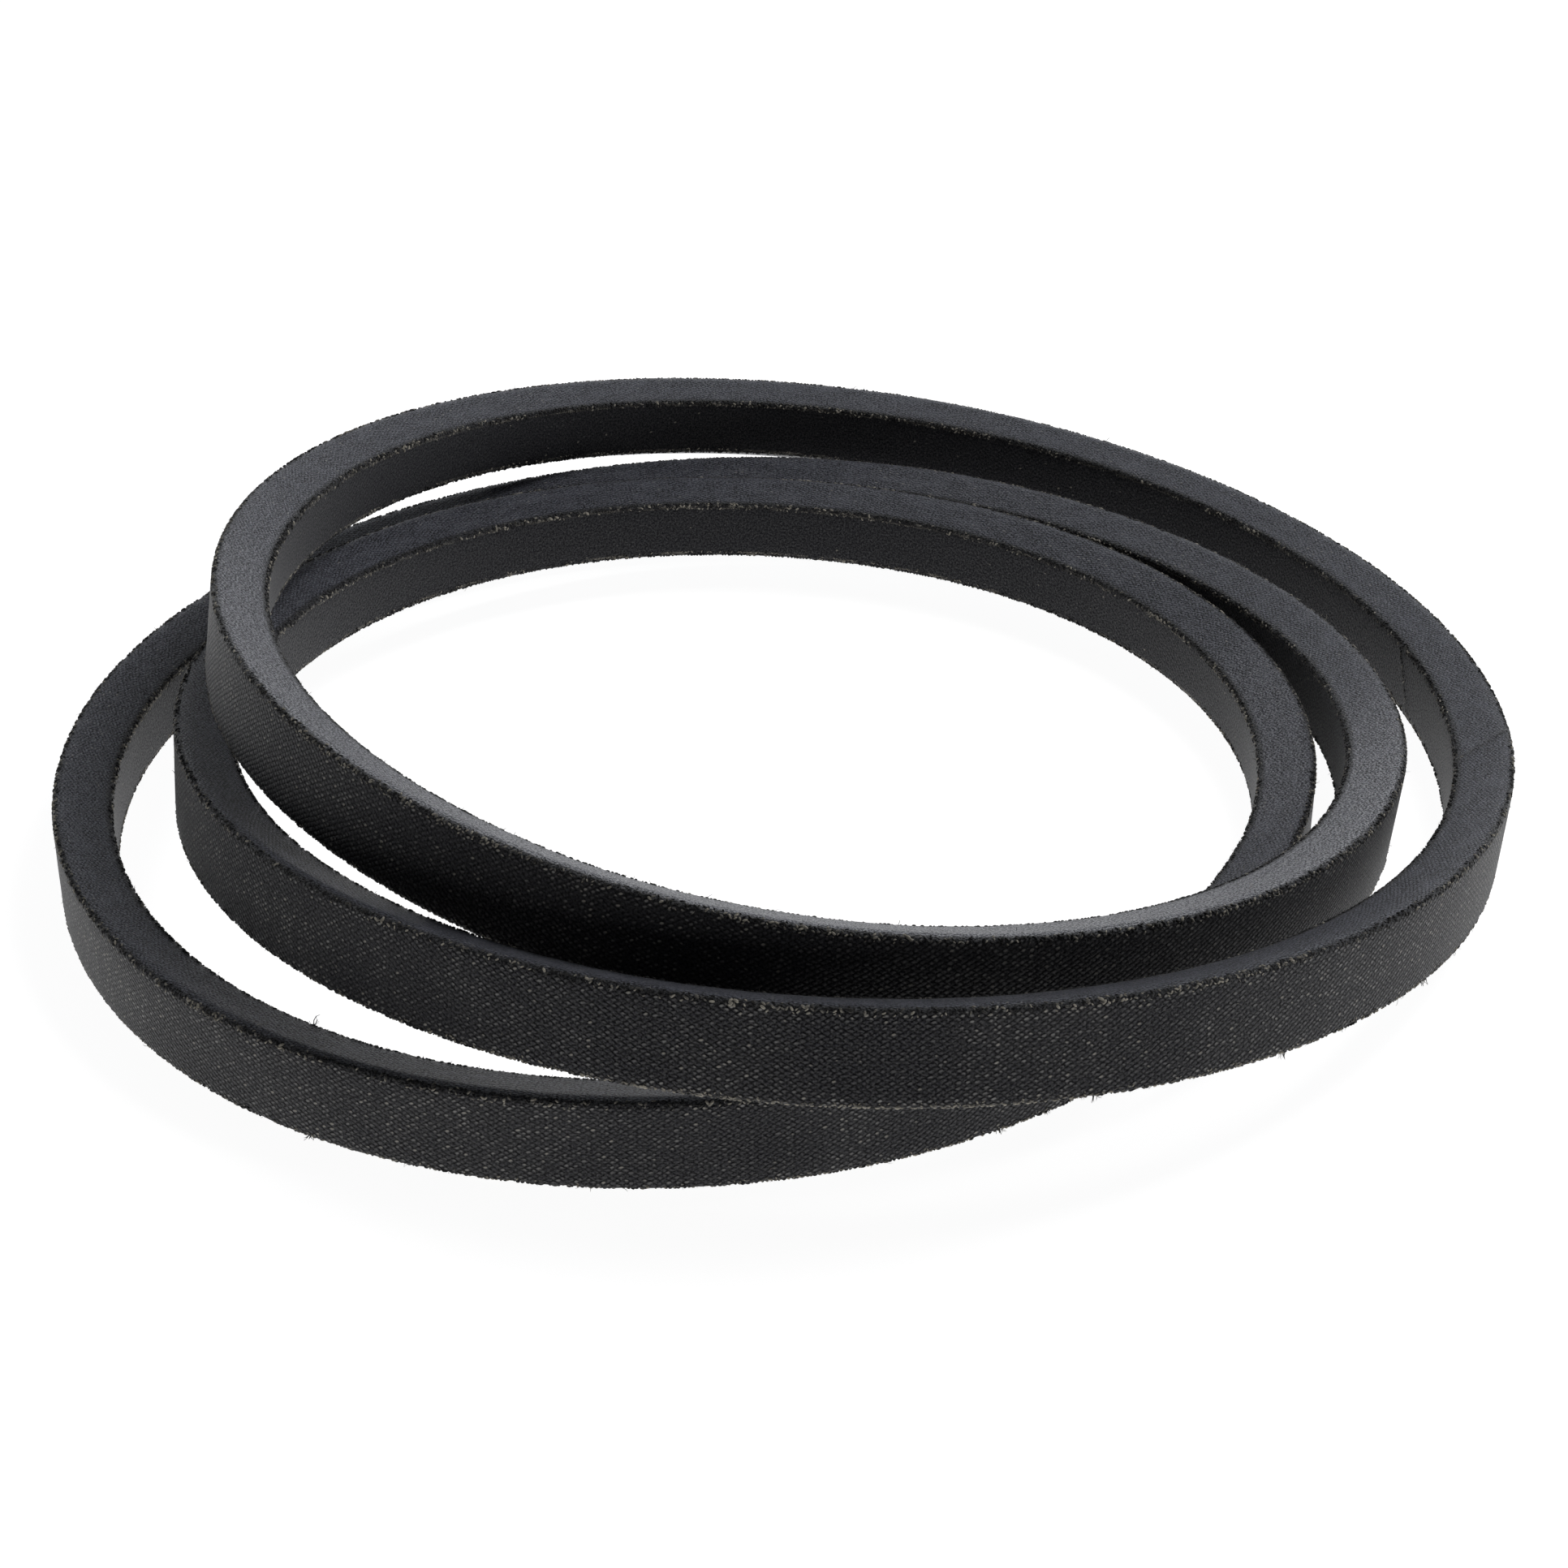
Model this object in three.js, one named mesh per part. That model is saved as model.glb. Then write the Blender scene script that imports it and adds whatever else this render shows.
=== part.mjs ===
// An endless fabric-wrapped V belt of the classical A section, laid in three loops for storage.
// Millimetres, +Z up. The origin is on the table, under the middle of the coil. The belt stands on one
// flank's outer edge, with its wide back facing out of the coil and its narrow base facing in.
//
// In every section below, x runs across the belt (up, in the coil) and y runs from base to back (out).

import * as THREE from 'three';

// The belt's section
const BACK_WIDTH = 12.7;
const BASE_WIDTH = 8.5; // wider than on a straight belt, because a tight bend squeezes the base out
const THICKNESS = 8;
const BACK_Y = THICKNESS / 2;
const BASE_Y = -THICKNESS / 2;
const CORNER = 0.5; // how far a worn edge is cut back
const LAND = 1; // flat strip beside each back edge, which the belt stands on

// The layers, from the back to the base
const COVER = 0.5;
const INNER_PLY = 0.4;
const OVERCORD = 0.7;
const CUSHION = 0.3;
const CORD_DIAMETER = 0.9;
const LAYER_GAP = 0.12;
const CORD_TURNS = 7;
const CORD_SIDES = 6;

// The layers' ends meet at splices, each a little further round the belt than the last
const SPLICE_GAP = 0.3;
const SPLICE_STEP = 2; // in sweep steps
const COVER_SPLICE = 28; // at the right side of the coil, on its outermost loop

// The coil
const LOOPS = 3;
const STEPS_PER_LOOP = 28;
const BELT_STEPS = LOOPS * STEPS_PER_LOOP;
const ROWS_PER_LOOP = 8;
const REST = BACK_WIDTH / 2;

// How the belt lies, every 45 degrees counter-clockwise from the right: distance from the middle of the
// coil, height above the table, and lean of the back towards the sky in degrees. The belt runs smoothly
// between the rows as a cubic B-spline, so it rounds off what they say.
const ROUTE = [
  // first loop: innermost at the right and at the back, then it climbs over the third loop's front
  [71, REST, 0],
  [71.5, 7.5, -4],
  [73.5, 8.5, -6],
  [77, 11.5, -7],
  [78.5, 15, 1],
  [82, 21.5, 10],
  [89.5, 24, 12],
  [93.5, 17, 6],
  // second loop: down to the table at the far right, then over both others at the back left
  [97.5, 6.5, -8],
  [103, 6.7, -14],
  [100.5, 14.5, -9],
  [86, 25.5, -3],
  [73, 30.5, 10],
  [70.5, 32, 14],
  [77.5, 26.5, 10],
  [82.5, 18, 2],
  // third loop: between the others at the back, out to the far left, and under both at the front
  [82, 10.5, -9],
  [80.5, 8, -6],
  [82, 9, -6],
  [88, 6.8, -5],
  [97, REST, 0],
  [97, REST, 0],
  [82, REST, 0],
  [70, REST, 0],
];

const FLANK_SLOPE = (BACK_WIDTH - BASE_WIDTH) / 2 / THICKNESS;
const FLANK_COS = 1 / Math.hypot(1, FLANK_SLOPE);

// Where the route is after so many loops: [radius, height, lean].
function routeAt(loops) {
  const place = loops * ROWS_PER_LOOP;
  const row = Math.floor(place);
  const f = place - row;
  const weights = [
    (1 - f) ** 3 / 6,
    (3 * f ** 3 - 6 * f ** 2 + 4) / 6,
    (-3 * f ** 3 + 3 * f ** 2 + 3 * f + 1) / 6,
    f ** 3 / 6,
  ];
  const mixed = [0, 0, 0];
  weights.forEach((weight, i) => {
    const near = ROUTE[(row - 1 + i + 2 * ROUTE.length) % ROUTE.length];
    near.forEach((value, j) => {
      mixed[j] += weight * value;
    });
  });
  return mixed;
}

function middleAt(loops) {
  const [radius, height] = routeAt(loops);
  const bearing = 2 * Math.PI * loops;
  return new THREE.Vector3(radius * Math.cos(bearing), radius * Math.sin(bearing), height);
}

// The belt's middle, and its own directions there: along it, out through its back, and up across it.
function sectionAt(loops) {
  const nearby = 1e-4;
  const middle = middleAt(loops);
  const along = middleAt(loops + nearby).sub(middleAt(loops - nearby)).normalize();
  const level = new THREE.Vector3(along.y, -along.x, 0).normalize();
  const upright = new THREE.Vector3().crossVectors(level, along);
  const lean = THREE.MathUtils.degToRad(routeAt(loops)[2]);
  const out = level.clone().multiplyScalar(Math.cos(lean)).addScaledVector(upright, Math.sin(lean));
  const up = upright.multiplyScalar(Math.cos(lean)).addScaledVector(level, -Math.sin(lean));
  return { middle, along, out, up };
}

// The stations of one sweep round the belt, from its splice to just short of it. A layer keeps to the
// middle line; one turn of the cord also steps across the belt, from fromAcross to toAcross.
function stationsFrom(splice, fromAcross = 0, toAcross = 0) {
  const start = splice / STEPS_PER_LOOP;
  const [radius] = routeAt(start);
  const reach = LOOPS - SPLICE_GAP / (2 * Math.PI * radius);
  const stations = [];
  for (let step = 0; step <= BELT_STEPS; step += 1) {
    const t = step / BELT_STEPS;
    const station = sectionAt(start + reach * t);
    station.middle.addScaledVector(station.up, THREE.MathUtils.lerp(fromAcross, toAcross, t));
    stations.push(station);
  }
  return stations;
}

// Half the belt's width at height y in its section, kept inset from its flank.
function halfWidth(y, inset = 0) {
  return BACK_WIDTH / 2 - (BACK_Y - y) * FLANK_SLOPE - inset / FLANK_COS;
}

// Four corners of a layer between two heights, inset from the flanks.
function layerCorners(top, bottom, inset) {
  return [
    new THREE.Vector2(halfWidth(top, inset), top),
    new THREE.Vector2(-halfWidth(top, inset), top),
    new THREE.Vector2(-halfWidth(bottom, inset), bottom),
    new THREE.Vector2(halfWidth(bottom, inset), bottom),
  ];
}

// The belt's outside, with worn corners and the two lands.
function beltOutline() {
  const half = [
    new THREE.Vector2(halfWidth(BASE_Y) - CORNER, BASE_Y),
    new THREE.Vector2(halfWidth(BASE_Y + CORNER), BASE_Y + CORNER),
    new THREE.Vector2(BACK_WIDTH / 2, BACK_Y - CORNER - LAND),
    new THREE.Vector2(BACK_WIDTH / 2, BACK_Y - CORNER),
    new THREE.Vector2(BACK_WIDTH / 2 - CORNER, BACK_Y),
  ];
  const mirrored = half.map((point) => new THREE.Vector2(-point.x, point.y)).reverse();
  return [...half, ...mirrored];
}

// A closed solid: an outline, with any hole in it, carried through the stations. ExtrudeGeometry would cut
// the faces of a hole and of an outline along opposite diagonals, so that nested layers would cut into each
// other where the belt twists. Here every face is cut from its lower-x corner to its higher-x one.
function sweep(outline, holes, stations) {
  const rings = [outline, ...holes];
  const section = rings.flat();
  const points = stations.flatMap(({ middle, out, up }) =>
    section.map((point) => middle.clone().addScaledVector(up, point.x).addScaledVector(out, point.y)),
  );
  const triangles = [];
  const at = (corner, station) => station * section.length + corner;
  let first = 0;
  for (const ring of rings) {
    for (let i = 0; i < ring.length; i += 1) {
      const p = first + i;
      const q = first + ((i + 1) % ring.length);
      for (let s = 0; s + 1 < stations.length; s += 1) {
        if (section[p].x < section[q].x) {
          triangles.push(at(p, s), at(q, s), at(q, s + 1), at(p, s), at(q, s + 1), at(p, s + 1));
        } else {
          triangles.push(at(p, s), at(q, s), at(p, s + 1), at(q, s), at(q, s + 1), at(p, s + 1));
        }
      }
    }
    first += ring.length;
  }
  for (const [a, b, c] of THREE.ShapeUtils.triangulateShape(outline, holes)) {
    const end = stations.length - 1;
    triangles.push(at(a, 0), at(c, 0), at(b, 0), at(a, end), at(b, end), at(c, end));
  }
  const geometry = new THREE.BufferGeometry().setFromPoints(points);
  geometry.setIndex(triangles);
  return geometry;
}

// One turn of fabric round the belt: its outside, and what it leaves inside.
function wrapGeometry(outside, inside, splice) {
  return sweep(outside, [inside.toReversed()], stationsFrom(splice));
}

function layerGeometry(top, bottom, inset, splice) {
  return sweep(layerCorners(top, bottom, inset), [], stationsFrom(splice));
}

function cordSection(y) {
  const points = [];
  for (let i = 0; i < CORD_SIDES; i += 1) {
    const angle = (2 * Math.PI * i) / CORD_SIDES;
    const radius = CORD_DIAMETER / 2;
    points.push(new THREE.Vector2(radius * Math.cos(angle), y + radius * Math.sin(angle)));
  }
  return points;
}

function fabric(color) {
  return new THREE.MeshStandardMaterial({ color, roughness: 0.9, metalness: 0 });
}

function rubber(color) {
  return new THREE.MeshStandardMaterial({ color, roughness: 0.75, metalness: 0 });
}

function cordYarn() {
  return new THREE.MeshStandardMaterial({ color: 0xd9cfb4, roughness: 0.7, metalness: 0 });
}

const belt = new THREE.Group();

function add(name, geometry, material) {
  const mesh = new THREE.Mesh(geometry, material);
  mesh.name = name;
  belt.add(mesh);
}

// Heights of the layers' faces, worked inwards from both wraps
const insideCover = COVER + LAYER_GAP;
const insideWraps = insideCover + INNER_PLY + LAYER_GAP;
const overcordTop = BACK_Y - insideWraps;
const upperCushionTop = overcordTop - OVERCORD - LAYER_GAP;
const cordMiddle = upperCushionTop - CUSHION - LAYER_GAP - CORD_DIAMETER / 2;
const lowerCushionTop = cordMiddle - CORD_DIAMETER / 2 - LAYER_GAP;
const compressionTop = lowerCushionTop - CUSHION - LAYER_GAP;
const compressionBottom = BASE_Y + insideWraps;

// Outer cover: bias-cut rubberised fabric, round the whole section
add(
  'outer_cover_ply',
  wrapGeometry(beltOutline(), layerCorners(BACK_Y - COVER, BASE_Y + COVER, COVER), COVER_SPLICE),
  fabric(0x3b3c41),
);

// Inner cover: a second turn of the same fabric
const innerPlyOutside = layerCorners(BACK_Y - insideCover, BASE_Y + insideCover, insideCover);
const innerPlyInset = insideCover + INNER_PLY;
const innerPlyInside = layerCorners(BACK_Y - innerPlyInset, BASE_Y + innerPlyInset, innerPlyInset);
add(
  'inner_cover_ply',
  wrapGeometry(innerPlyOutside, innerPlyInside, COVER_SPLICE + SPLICE_STEP),
  fabric(0x45464b),
);

// The rubber layers, each spliced further round than the one outside it
const rubberLayers = [
  { name: 'overcord_rubber', top: overcordTop, depth: OVERCORD, color: 0x2a2a2d },
  { name: 'upper_cushion_gum', top: upperCushionTop, depth: CUSHION, color: 0x35312c },
  { name: 'lower_cushion_gum', top: lowerCushionTop, depth: CUSHION, color: 0x35312c },
  { name: 'compression_rubber', top: compressionTop, depth: compressionTop - compressionBottom, color: 0x232325 },
];
rubberLayers.forEach(({ name, top, depth, color }, i) => {
  const splice = COVER_SPLICE + SPLICE_STEP * (i + 2);
  add(name, layerGeometry(top, top - depth, insideWraps, splice), rubber(color));
});

// The tensile cord: one cord wound side by side across the belt. Each turn is a piece of its own, and its
// end meets the start of the next turn.
const cordReach = 2 * (halfWidth(cordMiddle - CORD_DIAMETER / 2, insideWraps) - CORD_DIAMETER / 2);
const cordPitch = cordReach / CORD_TURNS;
const cordSplice = COVER_SPLICE + SPLICE_STEP * (rubberLayers.length + 2);
for (let turn = 0; turn < CORD_TURNS; turn += 1) {
  const across = turn * cordPitch - cordReach / 2;
  const stations = stationsFrom(cordSplice, across, across + cordPitch);
  add(`tensile_cord_turn_${turn + 1}`, sweep(cordSection(cordMiddle), [], stations), cordYarn());
}

// The origin goes under the middle of the coil's own box
const middleOfBox = new THREE.Box3().setFromObject(belt).getCenter(new THREE.Vector3());
belt.position.set(-middleOfBox.x, -middleOfBox.y, 0);

export default belt;
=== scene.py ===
"""The looks of an endless wrapped V belt of the A section, lying in three loops on a pale table.

The belt's route and section are the CAD's own, in metres. Every layer is swept again along that route with
a fine pitch, so that each bend is smooth, and the cover gets its weave, worn edges and splice.
"""

import math

import bpy
import numpy as np
from mathutils import Matrix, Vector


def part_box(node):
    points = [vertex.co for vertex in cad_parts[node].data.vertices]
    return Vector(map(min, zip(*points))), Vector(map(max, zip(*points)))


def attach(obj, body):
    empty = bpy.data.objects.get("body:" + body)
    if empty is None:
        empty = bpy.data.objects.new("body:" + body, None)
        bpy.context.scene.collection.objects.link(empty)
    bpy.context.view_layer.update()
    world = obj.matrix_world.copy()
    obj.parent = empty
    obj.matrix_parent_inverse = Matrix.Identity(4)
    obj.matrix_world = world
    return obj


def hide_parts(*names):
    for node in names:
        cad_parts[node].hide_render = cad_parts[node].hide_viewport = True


bl_info = {
    "name": "Coiled V Belt",
    "version": (1, 0, 0),
    "blender": (4, 5, 0),
    "location": "View3D > Sidebar > V Belt",
    "description": "Builds a fabric-wrapped V belt in three loops, with its woven cover and worn edges",
    "category": "Object",
}

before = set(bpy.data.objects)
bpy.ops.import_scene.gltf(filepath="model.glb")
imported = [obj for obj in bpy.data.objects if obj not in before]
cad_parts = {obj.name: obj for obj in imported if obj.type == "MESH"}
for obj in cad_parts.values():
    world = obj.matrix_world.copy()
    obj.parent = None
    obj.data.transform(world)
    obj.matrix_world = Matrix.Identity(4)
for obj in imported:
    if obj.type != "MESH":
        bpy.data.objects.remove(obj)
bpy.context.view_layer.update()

MM = 0.001

# The belt's section: x runs across the belt (up, in the coil) and y from the base to the back (out).
BACK_WIDTH = 12.7 * MM
BASE_WIDTH = 8.5 * MM
THICKNESS = 8 * MM
BACK_Y = THICKNESS / 2
BASE_Y = -THICKNESS / 2
FLANK_SLOPE = (BACK_WIDTH - BASE_WIDTH) / 2 / THICKNESS
FLANK_COS = 1 / math.hypot(1, FLANK_SLOPE)
CAD_CORNER = 0.5 * MM
LAND = 1 * MM
EDGE_RADIUS = 0.7 * MM
SHOULDER_RADIUS = 4 * MM

# The layers inside, from the back to the base
COVER = 0.5 * MM
INNER_PLY = 0.4 * MM
OVERCORD = 0.7 * MM
CUSHION = 0.3 * MM
CORD_DIAMETER = 0.9 * MM
LAYER_GAP = 0.12 * MM
INSIDE_COVER = COVER + LAYER_GAP
INSIDE_WRAPS = INSIDE_COVER + INNER_PLY + LAYER_GAP
OVERCORD_TOP = BACK_Y - INSIDE_WRAPS
UPPER_CUSHION_TOP = OVERCORD_TOP - OVERCORD - LAYER_GAP
CORD_MIDDLE = UPPER_CUSHION_TOP - CUSHION - LAYER_GAP - CORD_DIAMETER / 2
LOWER_CUSHION_TOP = CORD_MIDDLE - CORD_DIAMETER / 2 - LAYER_GAP
CORE_TOP = LOWER_CUSHION_TOP - CUSHION - LAYER_GAP
CORE_DEPTH = CORE_TOP - (BASE_Y + INSIDE_WRAPS)

# Each layer's ends meet at a splice, so many of the CAD's steps further round than the one outside it
SPLICE_GAP = 0.3 * MM
CAD_STEPS_PER_LOOP = 28
COVER_SPLICE = 28
SPLICE_STEP = 2

# The rubber layers: piece, CAD node, slot, top, depth and rubber
LAYERS = (
    ("overcord_layer", "overcord_rubber", "overcord_rubber", OVERCORD_TOP, OVERCORD, "overcord rubber"),
    ("upper_gum_layer", "upper_cushion_gum", "cushion_gum", UPPER_CUSHION_TOP, CUSHION, "cushion gum"),
    ("lower_gum_layer", "lower_cushion_gum", "cushion_gum", LOWER_CUSHION_TOP, CUSHION, "cushion gum"),
    (
        "compression_core", "compression_rubber", "compression_rubber",
        CORE_TOP, CORE_DEPTH, "fibre-filled rubber",
    ),
)
# Each rubber's dark and light colour, its roughness and the size of its specks
RUBBERS = {
    "cushion gum": ((0.012, 0.009, 0.006), (0.030, 0.024, 0.018), 0.5, 0.5 * MM),
    "overcord rubber": ((0.006, 0.006, 0.007), (0.016, 0.016, 0.018), 0.6, 0.4 * MM),
    "fibre-filled rubber": ((0.004, 0.004, 0.005), (0.013, 0.013, 0.014), 0.7, 0.25 * MM),
}

# The tensile cord: one cord in several turns side by side, of three strands
CORD_TURNS = 7
CORD_SIDES = 9
STRANDS = 3
STRAND_VALLEY = 0.17  # depth of the valleys between the strands, as a share of the cord's radius

# The coil
LOOPS = 3
ROWS_PER_LOOP = 8
REST = BACK_WIDTH / 2

# How the belt lies, every 45 degrees counter-clockwise from the right: distance from the middle of the
# coil, height above the table, and lean of the back towards the sky in degrees. The belt runs smoothly
# between the rows as a cubic B-spline.
ROUTE = np.array([
    # first loop: innermost at the right and at the back, then it climbs over the third loop's front
    (0.0710, REST, 0),
    (0.0715, 0.0075, -4),
    (0.0735, 0.0085, -6),
    (0.0770, 0.0115, -7),
    (0.0785, 0.0150, 1),
    (0.0820, 0.0215, 10),
    (0.0895, 0.0240, 12),
    (0.0935, 0.0170, 6),
    # second loop: down to the table at the far right, then over both others at the back left
    (0.0975, 0.0065, -8),
    (0.1030, 0.0067, -14),
    (0.1005, 0.0145, -9),
    (0.0860, 0.0255, -3),
    (0.0730, 0.0305, 10),
    (0.0705, 0.0320, 14),
    (0.0775, 0.0265, 10),
    (0.0825, 0.0180, 2),
    # third loop: between the others at the back, out to the far left, and under both at the front
    (0.0820, 0.0105, -9),
    (0.0805, 0.0080, -6),
    (0.0820, 0.0090, -6),
    (0.0880, 0.0068, -5),
    (0.0970, REST, 0),
    (0.0970, REST, 0),
    (0.0820, REST, 0),
    (0.0700, REST, 0),
])

# The weave. Two sets of threads cross at equal angles to the belt's length. The fabric is drawn narrower
# on the flanks, so that its threads lie flatter there, but their count along the belt stays the same.
THREADS_ALONG = 0.947 / MM
THREADS_ACROSS_BACK = 1.305 / MM
THREADS_ACROSS_FLANK = 1.856 / MM
THREAD_ANGLE = math.radians(36)
COIL_RADIUS_MM = 80.0  # turns a bearing into a rough length, for the ply that is out of sight

# The cover's unevenness: lengths along the belt and round the section of its swells, ripples and nibbles
SWELL = (17 * MM, 6 * MM)
RIPPLE = (3.2 * MM, 2.4 * MM)
NIBBLE = (1.3 * MM, 1.4 * MM)
RIPPLE_SHARE = 0.35
WORN_EDGE_WIDTH = 0.75 * MM
RIDGE_HEIGHT = 0.10 * MM
RIDGE_WIDTH = 0.5 * MM

# The cover's splice: loops along the belt, and how far it runs along for each step round the section
SPLICE_AT = 0.9825
SPLICE_LEAD = 1.09
SPLICE_START = 0.5 * MM  # how far before the upper base edge it begins
SPLICE_THREADS = 190

# Torn threads on each edge: loops along the belt, and length in mm
TORN_PLACES = {
    "lower_back": ((2.8031, 0.9), (0.8147, 0.8), (2.8174, 0.5), (0.9085, 0.7), (0.8595, 0.7), (2.6489, 0.7)),
    "upper_base": ((1.4016, 0.9), (1.3717, 0.8), (2.4666, 0.9), (2.6418, 1.2), (0.2667, 0.6)),
    "upper_back": ((1.5576, 0.7),),
}
THREADS_TORN_AT_ONCE = 7

# Scuffed or dusty spots: loops along the belt, (x, y) on the section, half length in mm, extra bareness
SCUFFS = (
    (0.881, (0.0, BACK_Y), 9.0, 0.9),
    (0.902, (2 * MM, BACK_Y), 5.0, 0.8),
    (0.950, (0.0, BACK_Y), 20.0, 0.5),
    (1.545, (0.0, BACK_Y), 16.0, 0.9),
    (1.640, (1 * MM, BACK_Y), 26.0, 0.35),
    (2.590, (0.0, BACK_Y), 26.0, 0.5),
    (0.605, (0.0, BACK_Y), 20.0, 1.1),
    (2.217, (5 * MM, 0.0), 2.2, 1.3),
    (1.350, (5 * MM, 0.0), 2.0, 0.8),
)
SCUFF_WIDTH = 2.6 * MM

# Stretches of the upper flank rubbed to grey, whose lighter colour also paints highlights and glints on
# them: loops along the belt, half length in mm, how much
RUBBED_AND_HIGHLIGHT_STRETCHES = ((1.71, 118.0, 1.15), (1.92, 42.0, 0.75), (3.00, 26.0, 0.40))

# Stretches of each edge where more threads are bare: loops along the belt, half length in mm, how many more
PALE_STRETCHES = {
    "upper_base": ((0.27, 34.0, 0.22), (2.47, 30.0, 0.30), (1.36, 16.0, 0.18)),
    "upper_back": (),
    "lower_back": ((0.80, 52.0, 0.45),),
    "lower_base": (),
}

# Rows of thread crowns on an edge: shift round the section in mm, share kept, scale, and share of cream
CROWN_ROWS = {
    "back": (
        (0.0, 0.88, 1.0, 0.26),
        (0.40, 0.60, 0.85, 0.55),
        (0.80, 0.26, 0.6, 0.85),
        (-0.42, 0.42, 0.7, 0.30),
    ),
    "base": ((0.0, 0.9, 0.95, 0.2), (0.42, 0.5, 0.65, 0.5), (-0.42, 0.8, 0.85, 0.08)),
}
CROWN_RINGS = (-0.62, 0.0, 0.62)
CROWN_SIDES = 5
CROWN_TIP = 0.35  # how far a crown's pointed ends lie below its middle
CROWN_SCATTER = 0.06 * MM

# Loose fibres: rings and sides of each, length, and the shares that stand on any edge and on each edge
FIBRE_RINGS = 4
FIBRE_SIDES = 3
FIBRE_TIP = 0.35  # a fibre's thickness at its tip, as a share of that at its root
FIBRE_LENGTHS = (0.12 * MM, 1.1 * MM)
ON_EDGE_SHARE = 0.86
FIBRE_SHARES = {"upper_base": 0.26, "upper_back": 0.33, "lower_back": 0.28, "lower_base": 0.13}

# The stage
CAMERA_PLACE = (-0.00072, -0.40033, 0.23939)
CAMERA_PITCH = math.radians(30.754)
CAMERA_ROLL = math.radians(0.3)
SENSOR_WIDTH = 36
SOFTBOX_PLACE = (0.42, 0.34, 0.74)
SOFTBOX_SIZE = 0.45
TABLE_REACH = 6.0
TABLE_DROP = 0.15 * MM
TOWARD_BACK = (0.30, 0.95)  # where the room is brightest: to the right, and away


# ---- The route and the section ----


def unit(vectors):
    return vectors / np.linalg.norm(vectors, axis=-1, keepdims=True)


def hump(distance, width, power=2):
    """1 at a place, and falling off smoothly to 0 on both sides of it."""
    return np.exp(-((distance / width) ** power))


def shorter_way(gap, whole):
    """A distance round something closed, taken the shorter way, with its sign."""
    return np.mod(gap + whole / 2, whole) - whole / 2


def route_at(loops):
    """Radius, height and lean of the belt after so many loops, one row for each."""
    place = np.asarray(loops, float) * ROWS_PER_LOOP
    row = np.floor(place).astype(int)
    f = place - row
    weights = (
        (1 - f) ** 3 / 6,
        (3 * f**3 - 6 * f**2 + 4) / 6,
        (-3 * f**3 + 3 * f**2 + 3 * f + 1) / 6,
        f**3 / 6,
    )
    return sum(w[:, None] * ROUTE[(row - 1 + i) % len(ROUTE)] for i, w in enumerate(weights))


def middle_at(loops):
    """The belt's middle line, about the axis that it is coiled round."""
    radius, height, _ = route_at(loops).T
    bearing = 2 * np.pi * np.asarray(loops, float)
    return np.stack([radius * np.cos(bearing), radius * np.sin(bearing), height], axis=1)


def frames_at(loops):
    """The belt's middle, and its directions there: out through its back, and up across it."""
    loops = np.asarray(loops, float)
    nearby = 1e-4
    along = unit(middle_at(loops + nearby) - middle_at(loops - nearby))
    level = unit(np.stack([along[:, 1], -along[:, 0], np.zeros(len(loops))], axis=1))
    upright = np.cross(level, along)
    lean = np.radians(route_at(loops)[:, 2])[:, None]
    out = level * np.cos(lean) + upright * np.sin(lean)
    up = upright * np.cos(lean) - level * np.sin(lean)
    return middle_at(loops), out, up


def half_width(y, inset=0.0):
    return BACK_WIDTH / 2 - (BACK_Y - y) * FLANK_SLOPE - inset / FLANK_COS


def coil_shift():
    """From the axis that the belt is coiled round to the CAD's origin."""
    stations = np.arange(LOOPS * CAD_STEPS_PER_LOOP) / CAD_STEPS_PER_LOOP
    middle, out, up = frames_at(stations)
    corners = [
        (half_width(BASE_Y) - CAD_CORNER, BASE_Y),
        (half_width(BASE_Y + CAD_CORNER), BASE_Y + CAD_CORNER),
        (BACK_WIDTH / 2, BACK_Y - CAD_CORNER - LAND),
        (BACK_WIDTH / 2, BACK_Y - CAD_CORNER),
        (BACK_WIDTH / 2 - CAD_CORNER, BACK_Y),
    ]
    points = np.concatenate([middle + side * x * up + y * out for x, y in corners for side in (1, -1)])
    low, high = (np.array(corner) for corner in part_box("outer_cover_ply"))
    shift = (low + high - points.min(axis=0) - points.max(axis=0)) / 2
    shift[2] = 0
    return shift


SHIFT = coil_shift()
LOOP_TABLE = np.linspace(0, LOOPS, 12001)
LENGTH_TABLE = np.concatenate(
    [[0], np.cumsum(np.linalg.norm(np.diff(middle_at(LOOP_TABLE), axis=0), axis=1))]
)
BELT_LENGTH = LENGTH_TABLE[-1]


def loops_at(length):
    turns = np.floor(length / BELT_LENGTH)
    return np.interp(length - turns * BELT_LENGTH, LENGTH_TABLE, LOOP_TABLE) + turns * LOOPS


def length_at(loops):
    return float(np.interp(loops, LOOP_TABLE, LENGTH_TABLE))


def past_place(length, loops):
    """Distance along the belt from a place on it, the shorter way round."""
    return shorter_way(length - length_at(loops), BELT_LENGTH)


def in_stretches(length, stretches):
    """How much is added by stretches of the belt: (loops along it, half length in mm, how much)."""
    return sum(amount * hump(past_place(length, at), reach * MM, 4) for at, reach, amount in stretches)


def round_corner(before, corner, after):
    """The arc in one corner: its start and end, centre, radius and swing. Corners are (x, y, radius)."""
    radius = corner[2]
    corner = np.array(corner[:2])
    to_before = unit(np.array(before[:2]) - corner)
    to_after = unit(np.array(after[:2]) - corner)
    half = math.acos(float(to_before @ to_after)) / 2
    centre = corner + unit(to_before + to_after) * radius / math.sin(half)
    reach = radius / math.tan(half)
    return corner + to_before * reach, corner + to_after * reach, centre, radius, math.pi - 2 * half


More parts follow.
